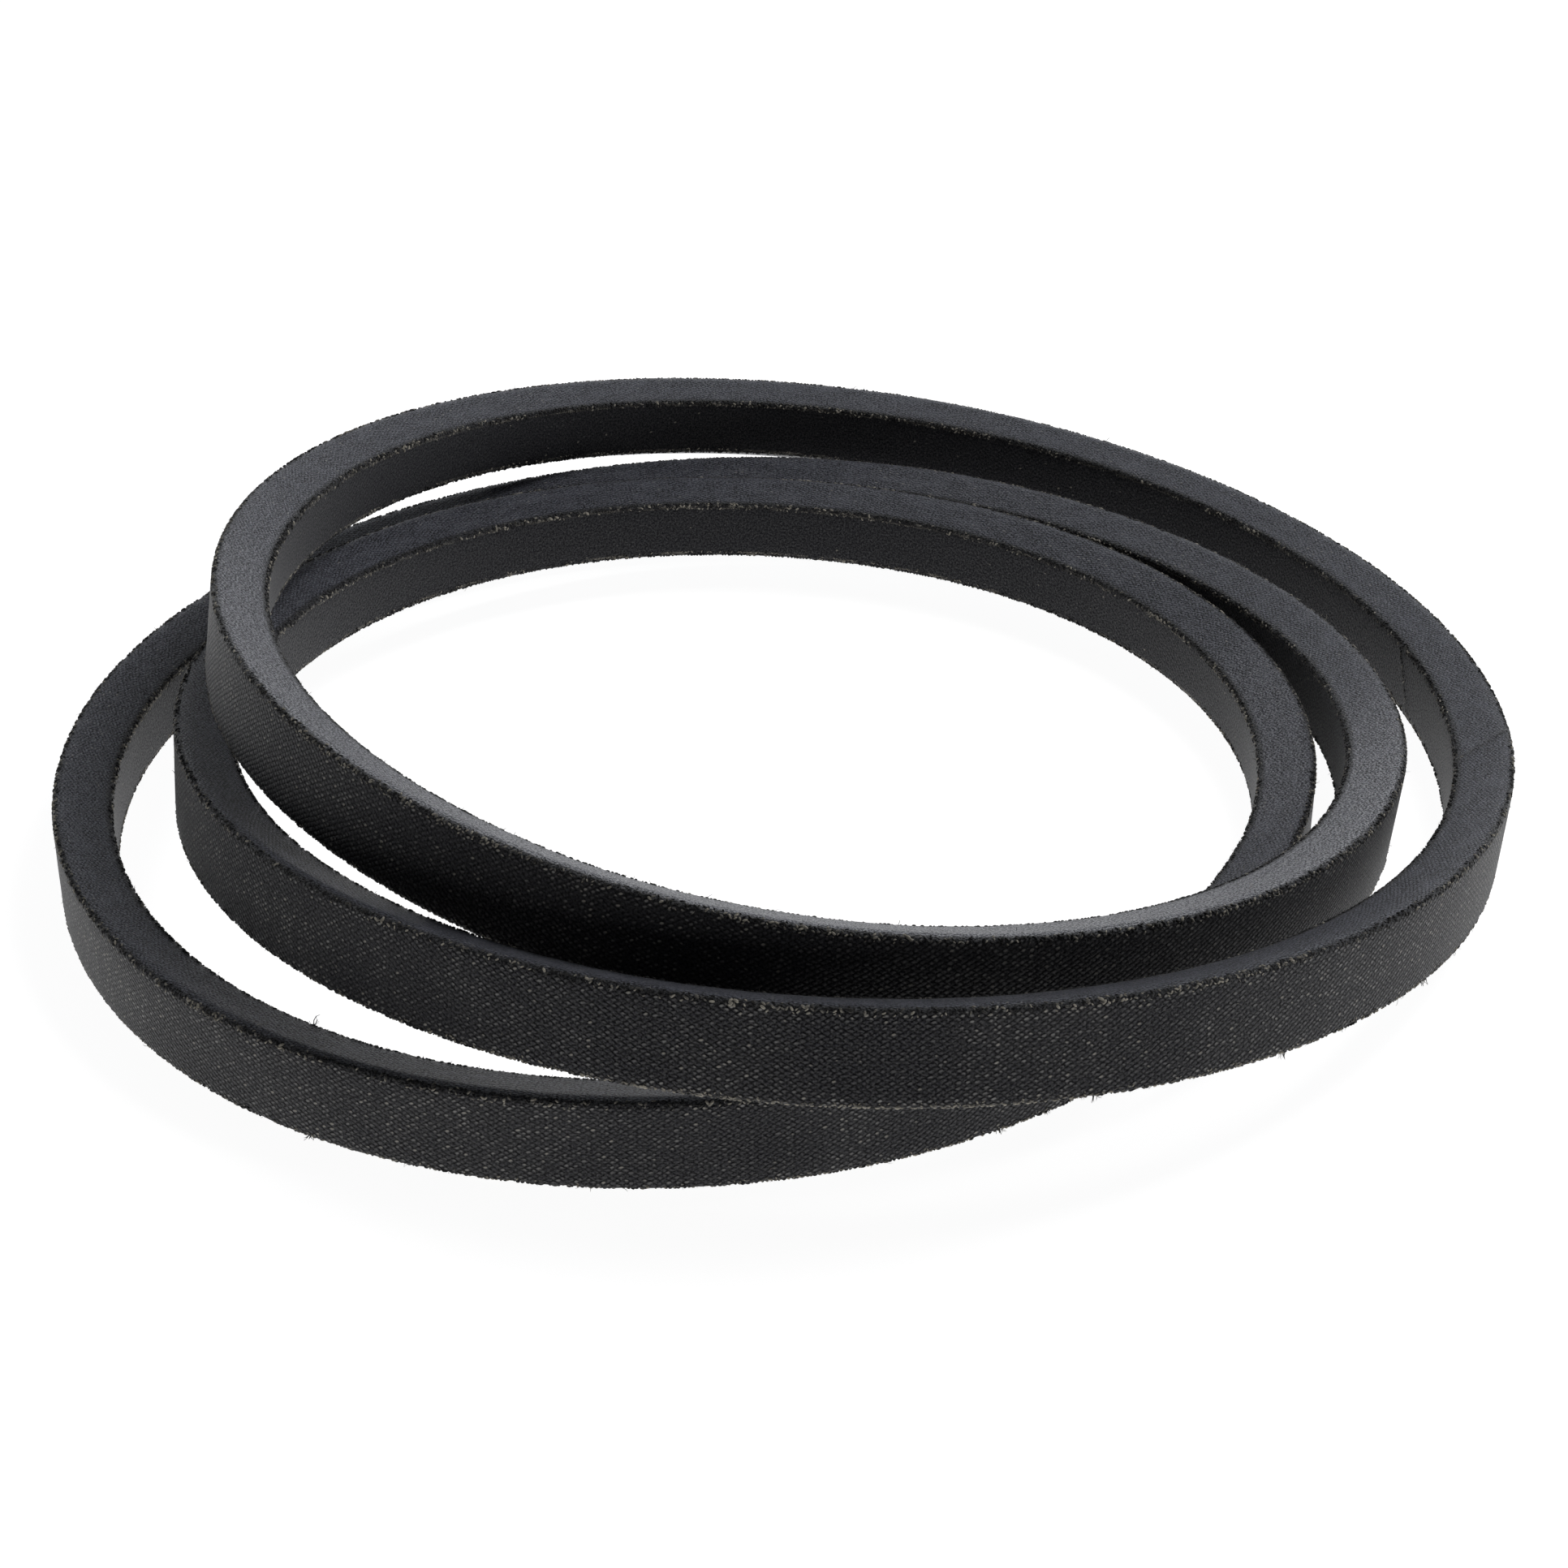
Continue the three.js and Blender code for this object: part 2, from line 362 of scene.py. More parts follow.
class Profile:
    """A closed outline with rounded corners: points, outward normals and the distance round to each."""

    def __init__(self, corners, pitch, arc_steps):
        xy, normals = [], []
        after = [*corners[1:], corners[0]]
        arcs = [round_corner(corners[i - 1], corners[i], after[i]) for i in range(len(corners))]
        for i, (start, end, centre, radius, swing) in enumerate(arcs):
            first = math.atan2(start[1] - centre[1], start[0] - centre[0])
            for k in range(arc_steps + 1):
                angle = first + swing * k / arc_steps
                normals.append(np.array([math.cos(angle), math.sin(angle)]))
                xy.append(centre + radius * normals[-1])
            # Each side has an odd number of steps, so that the outline has an even number of points
            reach = arcs[(i + 1) % len(corners)][0] - end
            steps = 2 * round((np.linalg.norm(reach) / pitch - 1) / 2) + 1
            for k in range(1, steps):
                xy.append(end + reach * k / steps)
                normals.append(normals[-1])
        self.xy = np.array(xy)
        self.normals = np.array(normals)
        lengths = np.linalg.norm(np.roll(self.xy, -1, axis=0) - self.xy, axis=1)
        self.around = np.concatenate([[0], np.cumsum(lengths)])
        self.total = self.around[-1]

    def at(self, around):
        """Point and normal at a distance round the outline."""
        around = np.mod(around, self.total)
        found = []
        for table in (self.xy, self.normals):
            closed = np.vstack([table, table[:1]])
            found.append(np.stack([np.interp(around, self.around, closed[:, k]) for k in (0, 1)], axis=-1))
        return found[0], unit(found[1])

    def nearest(self, x, y):
        """The distance round to the outline's point nearest to a place."""
        return float(self.around[np.argmin(np.hypot(self.xy[:, 0] - x, self.xy[:, 1] - y))])


def belt_profile():
    """The cover's outside, anticlockwise from the upper edge of the base."""
    upper = [
        (half_width(BASE_Y), BASE_Y, EDGE_RADIUS),
        (BACK_WIDTH / 2, BACK_Y - CAD_CORNER - LAND, SHOULDER_RADIUS),
        (BACK_WIDTH / 2, BACK_Y, EDGE_RADIUS),
    ]
    lower = [(-x, y, radius) for x, y, radius in reversed(upper)]
    return Profile([*upper, *lower], pitch=1.1 * MM, arc_steps=5)


PROFILE = belt_profile()
EDGES = {
    "upper_base": PROFILE.nearest(half_width(BASE_Y), BASE_Y),
    "upper_back": PROFILE.nearest(BACK_WIDTH / 2, BACK_Y),
    "lower_back": PROFILE.nearest(-BACK_WIDTH / 2, BACK_Y),
    "lower_base": PROFILE.nearest(-half_width(BASE_Y), BASE_Y),
}
# Which way round the section the back or the base lies from each of its edges
TOWARD_FACE = {"upper_back": 1, "lower_back": -1, "upper_base": -1, "lower_base": 1}


def surface(length, around, lift):
    """Points on the cover: so far along the belt, so far round its section, and lifted off it."""
    middle, out, up = frames_at(loops_at(length))
    xy, normal = PROFILE.at(around)
    x = xy[:, 0] + normal[:, 0] * lift
    y = xy[:, 1] + normal[:, 1] * lift
    return middle + SHIFT + up * x[:, None] + out * y[:, None]


def smooth_noise(length, around, cell_along, cell_around, seed):
    """Soft random hills from 0 to 1 on the cover, which close on themselves both ways."""
    count_along = max(4, round(BELT_LENGTH / cell_along))
    count_around = max(3, round(PROFILE.total / cell_around))
    heights = np.random.default_rng(seed).random((count_along, count_around))
    u = np.mod(length / BELT_LENGTH, 1) * count_along
    v = np.mod(around / PROFILE.total, 1) * count_around
    iu, iv = np.floor(u).astype(int), np.floor(v).astype(int)
    fu, fv = u - iu, v - iv
    fu, fv = fu * fu * (3 - 2 * fu), fv * fv * (3 - 2 * fv)
    iu, iv = iu % count_along, iv % count_around
    ju, jv = (iu + 1) % count_along, (iv + 1) % count_around
    near = heights[iu, iv] * (1 - fv) + heights[iu, jv] * fv
    far = heights[ju, iv] * (1 - fv) + heights[ju, jv] * fv
    return near * (1 - fu) + far * fu


def flank_share(around):
    """1 on a flank, 0 on the back and the base, and in between on the rounded edges."""
    _, normals = PROFILE.at(around)
    return np.clip((np.abs(normals[:, 0]) - 0.35) / 0.45, 0, 1)


def weave_across(around):
    """Threads counted round the section, for places in order round it."""
    count = THREADS_ACROSS_BACK + (THREADS_ACROSS_FLANK - THREADS_ACROSS_BACK) * flank_share(around)
    steps = np.diff(around) * (count[1:] + count[:-1]) / 2
    return np.concatenate([[0], np.cumsum(steps)])


def edge_distance(around):
    """Distance round the section to the nearest edge."""
    return np.min([np.abs(shorter_way(around - at, PROFILE.total)) for at in EDGES.values()], axis=0)


def face_distance(around, face):
    """Distance round the section from the nearer edge of the back or the base, positive on that face."""
    edges = (f"upper_{face}", f"lower_{face}")
    first, second = (shorter_way(around - EDGES[edge], PROFILE.total) * TOWARD_FACE[edge] for edge in edges)
    return np.where(np.abs(first) < np.abs(second), first, second)


def splice_distance(length, around):
    """Distance along the belt from the cover's splice, which runs on the bias round the section."""
    past_edge = np.mod(around - EDGES["upper_base"] + SPLICE_START, PROFILE.total)
    return length - length_at(SPLICE_AT) - SPLICE_LEAD * past_edge


# ---- Meshes ----


def new_object(name, data):
    made = bpy.data.objects.new(name, data)
    bpy.context.scene.collection.objects.link(made)
    return made


def new_mesh(name, points, faces, smooth=True):
    """A mesh object from points and a list of (n, 3) or (n, 4) arrays of corners."""
    mesh = bpy.data.meshes.new(name)
    loops = np.concatenate([part.ravel() for part in faces]).astype(np.int32)
    sizes = np.concatenate([np.full(len(part), part.shape[1], np.int32) for part in faces])
    mesh.vertices.add(len(points))
    mesh.vertices.foreach_set("co", np.ascontiguousarray(points, np.float32).ravel())
    mesh.loops.add(len(loops))
    mesh.loops.foreach_set("vertex_index", loops)
    mesh.polygons.add(len(sizes))
    mesh.polygons.foreach_set("loop_start", np.concatenate([[0], np.cumsum(sizes)[:-1]]).astype(np.int32))
    mesh.polygons.foreach_set("use_smooth", np.full(len(sizes), smooth))
    mesh.update(calc_edges=True)
    if mesh.validate():
        raise RuntimeError(f"the mesh {name} has faces that Blender had to mend")
    return new_object(name, mesh)


def point_numbers(piece, name, values):
    attribute = piece.data.attributes.new(name, "FLOAT", "POINT")
    attribute.data.foreach_set("value", np.ascontiguousarray(values, np.float32))


def sharpen(piece, vertices):
    """Marks the edges that join two of these vertices, so that a flat end doesn't round the shading."""
    mesh = piece.data
    ends = np.zeros(len(mesh.edges) * 2, np.int32)
    mesh.edges.foreach_get("vertices", ends)
    chosen = np.zeros(len(mesh.vertices), bool)
    chosen[vertices] = True
    both = chosen[ends.reshape(-1, 2)].all(axis=1)
    attribute = mesh.attributes.new("sharp_edge", "BOOLEAN", "EDGE")
    attribute.data.foreach_set("value", both)


def place(piece, material, slot, *stands_for):
    """Finishes a piece: its material, the body that it rides on and the CAD nodes that it stands for."""
    piece.data.materials.append(material)
    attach(piece, "root")
    if stands_for:
        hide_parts(*stands_for)


def bar_faces(stations, sides, first=0, inward=False):
    """Quads round a swept bar, station by station."""
    i, j = np.indices((stations - 1, sides))
    k = (j + 1) % sides
    quads = np.stack([i * sides + j, i * sides + k, (i + 1) * sides + k, (i + 1) * sides + j], axis=-1)
    quads = quads.reshape(-1, 4) + first
    return quads[:, ::-1] if inward else quads


def repeated(faces, count, points_each):
    """The faces of one small shape, for many copies of its points."""
    steps = (np.arange(count) * points_each)[:, None, None]
    return [(part[None] + steps).reshape(-1, part.shape[1]) for part in faces]


def stations_from(splice, pitch):
    """Middle, out and up at stations from a layer's splice to just short of it."""
    start = length_at(splice / CAD_STEPS_PER_LOOP)
    steps = round(BELT_LENGTH / pitch)
    lengths = start + (BELT_LENGTH - SPLICE_GAP) * np.arange(steps + 1) / steps
    middle, out, up = frames_at(loops_at(lengths))
    return middle + SHIFT, out, up


def swept(stations, sections):
    """(x, y) corners carried to every station. There is one set for all of them, or one for each."""
    middle, out, up = stations
    points = middle[:, None] + up[:, None] * sections[..., :1] + out[:, None] * sections[..., 1:]
    return points.reshape(-1, 3)


def sweep_bar(name, sections, stations, centres):
    """A closed bar with flat ends. centres holds the (x, y) middle of the first end and of the last."""
    sides = sections.shape[-2]
    points = swept(stations, sections)
    middle, out, up = stations
    tips = [middle[end] + up[end] * x + out[end] * y for end, (x, y) in zip((0, -1), centres, strict=True)]
    start_tip = len(points)
    j = np.arange(sides)
    k = (j + 1) % sides
    last = start_tip - sides
    start_fan = np.stack([k, j, np.full(sides, start_tip)], axis=1)
    end_fan = np.stack([last + j, last + k, np.full(sides, start_tip + 1)], axis=1)
    quads = bar_faces(start_tip // sides, sides)
    piece = new_mesh(name, np.vstack([points, tips]), [quads, start_fan, end_fan])
    sharpen(piece, np.concatenate([j, last + j]))
    return piece


# ---- Materials ----


class Wire:
    """One output of a node, which can be reckoned with like a number."""

    def __init__(self, nodes, socket):
        self.nodes = nodes
        self.socket = socket

    def __add__(self, other):
        return self.nodes.math("ADD", self, other)

    def __sub__(self, other):
        return self.nodes.math("SUBTRACT", self, other)

    def __rsub__(self, other):
        return self.nodes.math("SUBTRACT", other, self)

    def __mul__(self, other):
        return self.nodes.math("MULTIPLY", self, other)

    def __abs__(self):
        return self.nodes.math("ABSOLUTE", self)


def opaque(color):
    return color if isinstance(color, Wire) else (*color, 1.0)


class Nodes:
    """Shorthand for building a node tree."""

    def __init__(self, tree):
        self.tree = tree

    def feed(self, socket, value):
        if isinstance(value, Wire):
            self.tree.links.new(value.socket, socket)
        else:
            socket.default_value = value

    def node(self, kind, inputs=(), **options):
        """A node with its options, and its inputs in order from the first."""
        made = self.tree.nodes.new(kind)
        for key, value in options.items():
            setattr(made, key, value)
        for socket, value in zip(made.inputs, inputs, strict=False):
            self.feed(socket, value)
        return made

    def wire(self, kind, output, *inputs, **options):
        return Wire(self, self.node(kind, inputs, **options).outputs[output])

    def math(self, operation, *inputs, clamp=False):
        return self.wire("ShaderNodeMath", 0, *inputs, operation=operation, use_clamp=clamp)

    def split(self, vector):
        made = self.node("ShaderNodeSeparateXYZ", [vector])
        return [Wire(self, output) for output in made.outputs]

    def ramp(self, value, low, high, at_low=0.0, at_high=1.0):
        """at_low up to low, at_high from high on, and smooth between them."""
        inputs = (value, low, high, at_low, at_high)
        return self.wire("ShaderNodeMapRange", 0, *inputs, interpolation_type="SMOOTHSTEP")

    def band(self, value, middle, inner, outer):
        """1 within inner of the middle, and 0 from outer on."""
        return self.ramp(abs(value - middle), inner, outer, 1.0, 0.0)

    def number(self, name):
        return self.wire("ShaderNodeAttribute", "Fac", attribute_name=name)

    def place(self):
        return self.wire("ShaderNodeTexCoord", "Object")

    def noise(self, place, scale, detail=3.0, roughness=0.6):
        return self.wire("ShaderNodeTexNoise", "Fac", place, 0.0, scale, detail, roughness)

    def mix(self, share, a, b):
        made = self.node("ShaderNodeMix", [share], data_type="RGBA")
        self.feed(made.inputs[6], opaque(a))
        self.feed(made.inputs[7], opaque(b))
        return Wire(self, made.outputs[2])


class Recipe(Nodes):
    """One node material."""

    def __init__(self, name):
        self.material = bpy.data.materials.new(name)
        self.material.use_nodes = True
        super().__init__(self.material.node_tree)
        self.shader = self.tree.nodes["Principled BSDF"].inputs

    def bump(self, height, distance, strength=1.0):
        made = self.node("ShaderNodeBump")
        for name, value in (("Height", height), ("Distance", distance), ("Strength", strength)):
            self.feed(made.inputs[name], value)
        self.feed(self.shader["Normal"], Wire(self, made.outputs["Normal"]))

    def finish(self, color, roughness, specular=0.5, sheen=0.0, sheen_roughness=0.5):
        self.feed(self.shader["Base Color"], color)
        self.feed(self.shader["Roughness"], roughness)
        self.feed(self.shader["Specular IOR Level"], specular)
        self.feed(self.shader["Sheen Weight"], sheen)
        self.feed(self.shader["Sheen Roughness"], sheen_roughness)
        return self.material


def woven_cover(fabric):
    """Rubber-coated plain weave: dark threads with pale cotton showing where the coating has worn off.

    Noise scales and edge distances are in millimetres along and round the cover.
    """
    r = Recipe("rubberised cover fabric")
    numbers = ("back_edge", "base_edge", "flank", "base", "bare", "rubbed", "seam")
    back_edge, base_edge, flank, base, bare, rubbed, seam = (r.number(name) for name in numbers)
    lengths = r.wire("ShaderNodeUVMap", "UV", uv_map="millimetres")
    grain = r.noise(lengths, 5.5, roughness=0.7)
    fine = r.noise(lengths, 3.3, roughness=0.7)
    sharp_grain = r.ramp(fine, 0.40, 0.62)
    patches = r.noise(lengths, 0.05)
    thin_patches = r.noise(lengths, 0.16, roughness=0.65)
    stretched = r.wire("ShaderNodeVectorMath", 0, lengths, (0.22, 0.42, 1.0), operation="MULTIPLY")
    streaks = r.noise(stretched, 1.0)

    # Threads wander a little, and no two crossings are quite alike
    along, across, _ = r.split(r.wire("ShaderNodeUVMap", "UV", uv_map="threads"))
    along = along + (r.noise(lengths, 0.33, 2.0, 0.5) * 0.7 - 0.35)
    warp, weft = along + across, along - across
    warp_round = abs(r.math("SINE", warp * math.pi))
    weft_round = abs(r.math("SINE", weft * math.pi))
    warp_row, weft_row = r.math("FLOOR", warp), r.math("FLOOR", weft)
    over = abs(r.math("MODULO", warp_row + weft_row, 2.0))
    warp_height = warp_round * (weft_round * 0.6 + 0.4)
    weft_height = weft_round * (warp_round * 0.6 + 0.25)
    height = warp_height * over + weft_height * (1.0 - over)
    crossing = r.wire("ShaderNodeCombineXYZ", 0, warp_row, weft_row)
    chance = r.wire("ShaderNodeTexWhiteNoise", "Value", crossing, noise_dimensions="2D")

    # Most crowns carry a little dust, each its own amount, and here and there the cotton itself shows
    near_back_edge = r.band(back_edge, 0.75, 0.2, 1.1) * r.ramp(back_edge, 0.1, 0.6)
    worn = near_back_edge * 0.55 + (r.ramp(patches, 0.38, 0.7) * 0.65 + 0.22) + bare
    worn = worn * (flank * -0.5 + 1.0) * (base * -0.85 + 1.0)
    dust = r.math("MULTIPLY", r.math("POWER", chance, 3.0), worn * 1.5, clamp=True)
    dust = dust * r.ramp(height, 0.5, 0.92) * (grain * 0.9 + 0.45)
    shows = r.math("GREATER_THAN", worn * 0.08, 1.0 - chance)
    dots = r.ramp(height, 0.6, 0.95) * shows

    # Worn line of bare cotton on the base side of each base edge, beside a band of painted shade on the
    # flank side
    base_line = r.band(base_edge, 0.25, 0.05, 0.38) * r.ramp(thin_patches, 0.44, 0.62)
    base_line = base_line * r.ramp(grain, 0.42, 0.62)
    painted_edge_shade = r.band(base_edge, -0.55, 0.15, 0.75)
    back_line = r.band(back_edge, 0.0, 0.25, 0.8)
    # Dark marks: the black coating at the back edges, the splice's dark joint, and the painted shade beside
    # the base edges
    dark = r.math("MAXIMUM", r.math("MAXIMUM", painted_edge_shade * 0.8, back_line * 0.75), seam * 0.9)

    thread_color = r.mix(r.ramp(height, 0.15, 0.95), fabric.gum_color, fabric.thread_color)
    thread_color = r.mix(r.ramp(patches, 0.35, 0.75, 0.0, 0.05), thread_color, fabric.dusty_color)
    thread_color = r.mix(r.ramp(grain, 0.30, 0.58, 0.75, 0.0), thread_color, fabric.edge_coating_and_shade_color)
    # Flank mottle: random tone, and partly painted glints and shade of the fine grain, lighter on the crowns
    # and darker in the dips
    mottle_and_glints = height * 0.5 + (sharp_grain * 0.42 + chance * 0.2)
    flank_color = r.mix(r.ramp(mottle_and_glints, 0.25, 0.98), fabric.flank_dark_color, fabric.flank_color)
    flank_color = r.mix(r.ramp(streaks, 0.4, 0.75, 0.0, 0.38), flank_color, fabric.flank_light_color)
    # Rubbed stretches of the flank: real wear, and painted highlights and glints where the grain catches the
    # light
    scoured_and_glints = r.ramp(sharp_grain * 0.7 + chance * 0.3, 0.30, 0.85, 0.08, 1.0)
    scoured_and_glints = r.math("MULTIPLY", rubbed, scoured_and_glints, clamp=True)
    flank_color = r.mix(scoured_and_glints, flank_color, fabric.rubbed_flank_and_highlight_color)
    base_color = r.mix(r.ramp(grain, 0.35, 0.75), fabric.gum_color, fabric.base_color)
    color = r.mix(base, r.mix(flank, thread_color, flank_color), base_color)
    # Painted shade beside the base edges, along with the black edge coating and the splice's dark joint
    color = r.mix(dark, color, fabric.edge_coating_and_shade_color)
    color = r.mix(dust, color, fabric.dusty_color)
    color = r.mix(dots * (grain * 0.9 + 0.1), color, fabric.cotton_color)
    color = r.mix(base_line * 0.8, color, fabric.cotton_color)

    relief = height * (chance * 0.5 + 0.6) * (base * -0.75 + 1.0) * (flank * -0.4 + 1.0)
    r.bump(grain * 0.4 + relief + fine * (flank * 1.5 + 0.5), 0.16 * MM)
    roughness = grain * 0.16 + (flank * -0.14 + 0.42)
    roughness = r.math("ADD", dots * 0.25, roughness, clamp=True)
    shine = (flank * 0.06 + 0.24) * (sharp_grain * 1.8 + 0.15)
    return r.finish(color, roughness, specular=shine, sheen=0.1, sheen_roughness=0.4)


def worn_threads(fabric):
    """Thread crowns along the edges, coated black or rubbed down to cream cotton."""
    r = Recipe("worn edge threads")
    strands = r.noise(r.place(), 9000.0, 2.0)
    patchy = (strands - 0.5) * 0.55 + r.number("tone")
    color = r.mix(r.ramp(patchy, 0.25, 0.6), fabric.edge_coating_and_shade_color, fabric.rubbed_color)
    color = r.mix(r.ramp(patchy, 0.6, 1.0), color, fabric.cotton_color)
    r.bump(strands, 0.04 * MM, 0.6)
    return r.finish(color, strands * 0.2 + 0.62, specular=0.3, sheen=0.1)


def loose_cotton(fabric):
    """Single fibres pulled out of the threads."""
    r = Recipe("loose fibres")
    dust = r.noise(r.place(), 4000.0, 2.0)
    shade = (dust - 0.5) * 0.4 + r.number("tone")
    color = r.mix(r.ramp(shade, 0.3, 0.75), fabric.fibre_dark_color, fabric.cotton_color)
    r.bump(dust, 0.02 * MM, 0.5)
    return r.finish(color, dust * 0.2 + 0.65, specular=0.25, sheen=0.2)


def inner_weave(fabric):
    """The second turn of fabric, cleaner than the first because nothing has rubbed it."""
    r = Recipe("inner ply fabric")
    x, y, z = r.split(r.place())
    length = r.math("ARCTAN2", y, x) * (COIL_RADIUS_MM * THREADS_ALONG * MM)
    rise = z * THREADS_ACROSS_BACK
    warp, weft = (abs(r.math("SINE", row * math.pi)) for row in (length + rise, length - rise))
    height = r.math("MAXIMUM", warp, weft)
    grain = r.noise(r.place(), 3000.0)
    color = r.mix(r.ramp(height, 0.4, 1.0), fabric.gum_color, fabric.dusty_color)
    color = r.mix(grain * 0.3, color, fabric.flank_color)
    r.bump(grain * 0.3 + height, 0.08 * MM, 0.8)
    return r.finish(color, grain * 0.2 + 0.6, specular=0.35)


def moulded_rubber(name, dark, light, roughness, speck_size):
    """Dull rubber with a fine grain and faint flow marks."""
    r = Recipe(name)
    grain = r.noise(r.place(), 1 / speck_size, roughness=0.65)
    flow = r.noise(r.place(), 120.0, roughness=0.5)
    mixed = flow * 0.4 + grain * 0.6
    r.bump(mixed, 0.05 * MM, 0.7)
    return r.finish(r.mix(r.ramp(mixed, 0.35, 0.7), dark, light), grain * 0.2 + roughness, specular=0.4)


def twisted_yarn(fabric):
    """Cream polyester cord, darker in the valleys between its strands."""
    r = Recipe("twisted cord yarn")
    hairs = r.noise(r.place(), 9000.0, 2.0)
    color = r.mix(r.ramp(r.number("valley"), 0.1, 0.9), fabric.cord_color, fabric.cord_dip_color)
    color = r.mix(hairs * 0.25, color, fabric.cotton_color)
    r.bump(hairs, 0.03 * MM, 0.6)
    return r.finish(color, hairs * 0.2 + 0.5, specular=0.4, sheen=0.15)


# ---- Settings ----


def length_setting(name, text, value):
    return bpy.props.FloatProperty(
        name=name, description=text, default=value, subtype="DISTANCE", unit="LENGTH"
    )


def color_setting(name, text, value):
    return bpy.props.FloatVectorProperty(
        name=name, description=text, default=value, size=3, min=0.0, max=1.0, subtype="COLOR"
    )


def plain_setting(name, text, value, subtype="NONE"):
    return bpy.props.FloatProperty(name=name, description=text, default=value, min=0.0, subtype=subtype)


def count_setting(name, text, value):
    return bpy.props.IntProperty(name=name, description=text, default=value, min=0)


class BeltMeshSettings(bpy.types.PropertyGroup):
    """How finely the belt is made, and how its surface and edges are worn."""

    cover_pitch: length_setting("Cover pitch", "Distance between stations of the cover", 0.56 * MM)
    layer_pitch: length_setting("Layer pitch", "Distance between stations of the layers inside", 1.6 * MM)
    cord_pitch: length_setting("Cord pitch", "Distance between stations of the tensile cord", 1.0 * MM)
    cord_lay: length_setting("Cord lay", "Length in which the cord's strands twist once round", 7 * MM)
    unevenness: length_setting("Unevenness", "How far the moulded faces swell and dip", 0.12 * MM)
    edge_wear: length_setting("Edge wear", "How far the rounded edges are nibbled back", 0.14 * MM)
    crown_length: length_setting("Crown length", "Length of one thread crown on an edge", 0.68 * MM)
    crown_width: length_setting("Crown width", "Width of one thread crown", 0.29 * MM)
    crown_height: length_setting("Crown height", "How far a thread crown stands off the edge", 0.16 * MM)
    fibre_count: count_setting("Loose fibres", "How many single fibres stand out of the cover", 4600)
    seed: count_setting("Seed", "Picks the pattern of wear", 7)


class BeltFabricSettings(bpy.types.PropertyGroup):
    """Colours of the cover, its threads and the layers inside."""

    gum_color: color_setting("Gum", "Rubber between the threads", (0.0045, 0.0045, 0.006))
    thread_color: color_setting("Coated thread", "Coated threads on the back", (0.027, 0.0265, 0.033))
    dusty_color: color_setting("Dusty thread", "Threads with a film of dust", (0.27, 0.265, 0.255))
    flank_dark_color: color_setting("Flank low", "Dips of the flanks", (0.003, 0.0033, 0.005))
    flank_color: color_setting("Flank", "Flanks, which the mould presses smooth", (0.105, 0.111, 0.145))
    flank_light_color: color_setting("Flank streak", "Streaks along the flanks", (0.125, 0.13, 0.16))
    rubbed_flank_and_highlight_color: color_setting("Rubbed flank and highlight", "Flanks that have rubbed, with painted highlights", (0.32, 0.325, 0.35))
    base_color: color_setting("Base", "Base of the belt", (0.034, 0.034, 0.040))
    edge_coating_and_shade_color: color_setting("Edge", "Black coating at the edges, also painted shade beside the base edges", (0.004, 0.004, 0.0045))
    rubbed_color: color_setting("Rubbed thread", "Edge threads, thinly coated", (0.10, 0.095, 0.085))
    cotton_color: color_setting("Bare cotton", "Cotton with no coating", (0.34, 0.315, 0.265))
    fibre_dark_color: color_setting("Dark fibre", "Coated loose fibres", (0.02, 0.018, 0.016))
    cord_color: color_setting("Cord", "Cord yarn", (0.62, 0.54, 0.38))
    cord_dip_color: color_setting("Cord dip", "Adhesive between the cord's strands", (0.26, 0.13, 0.06))


class BeltStageSettings(bpy.types.PropertyGroup):
    """Camera and light."""

    lens: plain_setting("Lens", "Focal length on a 36 mm sensor", 74.47, "DISTANCE_CAMERA")
    table_glow: plain_setting("Table glow", "How brightly the table itself shines", 0.95)
    back_light: plain_setting("Back light", "Brightness of the wall behind the coil", 0.95)
    front_light: plain_setting("Front light", "Brightness of the room in front of the coil", 0.07)
    softbox_power: plain_setting("Softbox", "Watts of the softbox high at the back right", 5.0)
    top_share: plain_setting("Top share", "Brightness overhead, as a share of the horizon's", 0.22)


def settings(group):
    return getattr(bpy.context.scene, group)


# ---- The cover ----


def cover_relief(length, around, wear):
    """How far the skin stands off its plain section: swells, nibbled edges and the splice's ridge."""
    swell = smooth_noise(length, around, *SWELL, wear.seed) - 0.5
    ripple = smooth_noise(length, around, *RIPPLE, wear.seed + 1) - 0.5
    nibble = smooth_noise(length, around, *NIBBLE, wear.seed + 2)
    lift = wear.unevenness * (swell + RIPPLE_SHARE * ripple)
    lift -= wear.edge_wear * hump(edge_distance(around), WORN_EDGE_WIDTH) * nibble
    return lift + RIDGE_HEIGHT * hump(splice_distance(length, around), RIDGE_WIDTH)


def ring_faces(outer_first, inner_first, sides, flip):
    """Joins an end of the outside to the same end of the inside, which has half as many points."""
    j = np.arange(0, sides, 2)
    middle = outer_first + j + 1
    outer_next = outer_first + (j + 2) % sides
    inner_next = inner_first + ((j // 2) + 1) % (sides // 2)
    quads = np.stack([outer_first + j, middle, inner_next, inner_first + j // 2], axis=1)
    triangles = np.stack([middle, outer_next, inner_next], axis=1)
    return (quads[:, ::-1], triangles[:, ::-1]) if flip else (quads, triangles)


